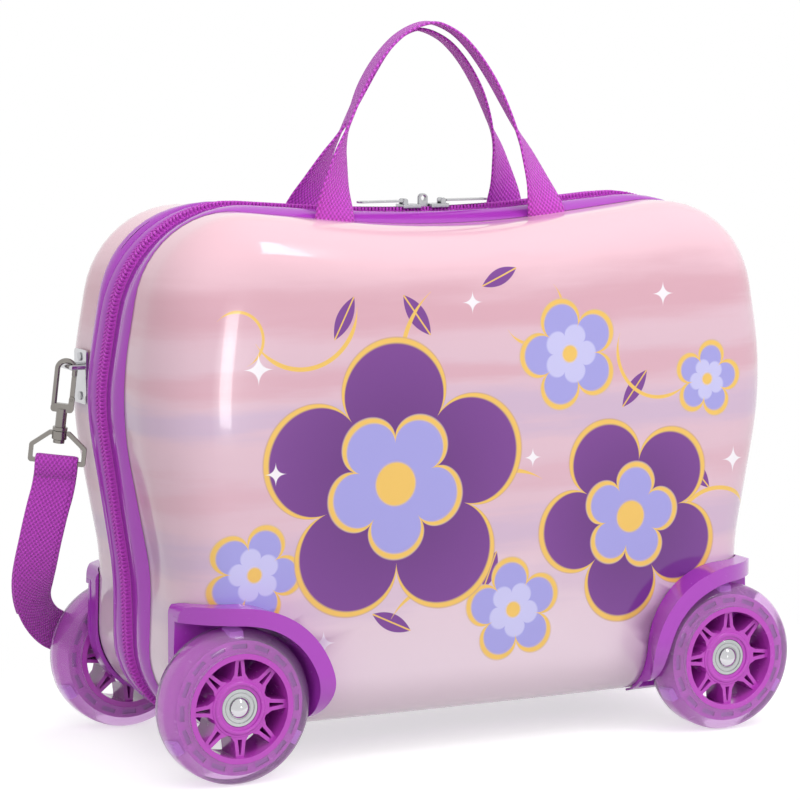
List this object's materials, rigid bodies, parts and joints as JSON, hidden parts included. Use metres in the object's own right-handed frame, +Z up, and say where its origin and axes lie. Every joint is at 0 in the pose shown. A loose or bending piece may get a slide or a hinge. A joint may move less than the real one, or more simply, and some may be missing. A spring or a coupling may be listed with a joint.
{
  "type": "ride-on suitcase",
  "caption": "Child's ride-on hard suitcase: saddle-topped zipped case on chunky clear wheels, with webbing carry loops and a clip-on shoulder strap",
  "frame": {"origin": "on the floor, under the middle of the case, where the two halves meet", "axes": "+X along the case to the right of its front, +Y through the case from front to back, +Z up"},
  "size_m": [0.4732, 0.2191, 0.4281],
  "materials": {
    "printed_shell": "glossy film-covered sheet, pale pink and lavender bands",
    "purple_moulding": "glossy purple moulding",
    "zip_cloth": "woven purple zip tape and coil",
    "lining_cloth": "thin woven lining",
    "webbing": "woven purple webbing",
    "clear_tyre": "soft translucent purple",
    "wheel_plastic": "moulded pink-purple",
    "light_plastic": "milky light housings",
    "chrome": "bright plated steel",
    "zinc_steel": "zinc-plated steel",
    "nickel": "satin nickel",
    "buckle_plastic": "moulded purple buckle"
  },
  "bodies": {
    "back_half": {"back_axle_bolts": "chrome", "back_axle_nuts": "zinc_steel", "back_frame": "purple_moulding", "back_hinge_tape": "zip_cloth", "back_housing_left": "purple_moulding", "back_housing_right": "purple_moulding", "back_housing_screws": "zinc_steel", "back_lining": "lining_cloth", "back_shell": "printed_shell", "back_zip_tape": "zip_cloth", "strap_staple_left": "chrome", "strap_staple_right": "chrome", "strap_staple_rivets": "zinc_steel"},
    "front_half": {"front_axle_bolts": "chrome", "front_axle_nuts": "zinc_steel", "front_frame": "purple_moulding", "front_hinge_tape": "zip_cloth", "front_housing_left": "purple_moulding", "front_housing_right": "purple_moulding", "front_housing_screws": "zinc_steel", "front_lining": "lining_cloth", "front_shell": "printed_shell", "front_zip_tape": "zip_cloth"},
    "back_left_wheel": {"back_left_bearings": "chrome", "back_left_lights": "light_plastic", "back_left_tyre": "clear_tyre", "back_left_wheel_core": "wheel_plastic"},
    "back_right_wheel": {"back_right_bearings": "chrome", "back_right_lights": "light_plastic", "back_right_tyre": "clear_tyre", "back_right_wheel_core": "wheel_plastic"},
    "front_left_wheel": {"front_left_bearings": "chrome", "front_left_lights": "light_plastic", "front_left_tyre": "clear_tyre", "front_left_wheel_core": "wheel_plastic"},
    "front_right_wheel": {"front_right_bearings": "chrome", "front_right_lights": "light_plastic", "front_right_tyre": "clear_tyre", "front_right_wheel_core": "wheel_plastic"},
    "front_handle": {"handle_front": "webbing"},
    "back_handle": {"handle_back": "webbing"},
    "left_slider": {"zip_slider_left": "nickel"},
    "left_pull": {"zip_pull_left": "nickel"},
    "right_slider": {"zip_slider_right": "nickel"},
    "right_pull": {"zip_pull_right": "nickel"},
    "strap": {"shoulder_strap": "webbing", "strap_adjuster": "buckle_plastic", "strap_loop_left": "nickel", "strap_loop_right": "nickel"},
    "left_hook": {"strap_hook_left": "nickel"},
    "left_gate": {"strap_gate_left": "nickel"},
    "right_hook": {"strap_hook_right": "nickel"},
    "right_gate": {"strap_gate_right": "nickel"}
  },
  "joints": [
    {"name": "case_opening", "type": "hinge", "parent": "back_half", "child": "front_half", "pos_m": [0, 0, 0.0165], "axis": [1, 0, 0], "range_deg": [0, 145]},
    {"name": "back_left_wheel_spin", "type": "hinge", "parent": "back_half", "child": "back_left_wheel", "pos_m": [-0.1624, 0.0832, 0.045], "axis": [0, 1, 0], "continuous": true},
    {"name": "back_right_wheel_spin", "type": "hinge", "parent": "back_half", "child": "back_right_wheel", "pos_m": [0.1624, 0.0832, 0.045], "axis": [0, 1, 0], "continuous": true},
    {"name": "front_left_wheel_spin", "type": "hinge", "parent": "front_half", "child": "front_left_wheel", "pos_m": [-0.1624, -0.0832, 0.045], "axis": [0, 1, 0], "continuous": true},
    {"name": "front_right_wheel_spin", "type": "hinge", "parent": "front_half", "child": "front_right_wheel", "pos_m": [0.1624, -0.0832, 0.045], "axis": [0, 1, 0], "continuous": true},
    {"name": "front_handle_fold", "type": "hinge", "parent": "front_half", "child": "front_handle", "pos_m": [0, -0.0293, 0.31562], "axis": [1, 0, 0], "range_deg": [0, 80], "stiffness_Nm_per_rad": 0.02},
    {"name": "back_handle_fold", "type": "hinge", "parent": "back_half", "child": "back_handle", "pos_m": [0, 0.0293, 0.31562], "axis": [1, 0, 0], "range_deg": [-80, 0], "stiffness_Nm_per_rad": 0.02},
    {"name": "left_slider_run", "type": "hinge", "parent": "back_half", "child": "left_slider", "pos_m": [0, 0, 1.31674], "axis": [0, 1, 0], "range_deg": [0, 3.4]},
    {"name": "right_slider_run", "type": "hinge", "parent": "back_half", "child": "right_slider", "pos_m": [0, 0, 1.31674], "axis": [0, -1, 0], "range_deg": [0, 3.4]},
    {"name": "left_pull_lift", "type": "hinge", "parent": "left_slider", "child": "left_pull", "pos_m": [-0.0128, 0, 0.32205], "axis": [0, 1, 0], "range_deg": [0, 110]},
    {"name": "right_pull_lift", "type": "hinge", "parent": "right_slider", "child": "right_pull", "pos_m": [0.0128, 0, 0.32205], "axis": [0, -1, 0], "range_deg": [0, 110]},
    {"name": "strap_swing", "type": "hinge", "parent": "back_half", "child": "strap", "pos_m": [0, 0.0372, 0.23142], "axis": [1, 0, 0], "range_deg": [0, 30]},
    {"name": "left_hook_swivel", "type": "hinge", "parent": "strap", "child": "left_hook", "pos_m": [-0.21433, 0.0372, 0.23142], "axis": [0.0868, -0.0868, 0.9924], "range_deg": [0, 40]},
    {"name": "right_hook_swivel", "type": "hinge", "parent": "strap", "child": "right_hook", "pos_m": [0.21433, 0.0372, 0.23142], "axis": [0.0868, 0.0868, -0.9924], "range_deg": [0, 40]},
    {"name": "left_gate_press", "type": "hinge", "parent": "left_hook", "child": "left_gate", "pos_m": [-0.21177, 0.03689, 0.20835], "axis": [-0.4525, -0.8909, -0.0384], "range_deg": [0, 25], "stiffness_Nm_per_rad": 0.002, "springref_deg": -17.19},
    {"name": "right_gate_press", "type": "hinge", "parent": "right_hook", "child": "right_gate", "pos_m": [0.21177, 0.03689, 0.20835], "axis": [-0.4525, 0.8909, 0.0384], "range_deg": [0, 25], "stiffness_Nm_per_rad": 0.002, "springref_deg": -17.19}
  ]
}
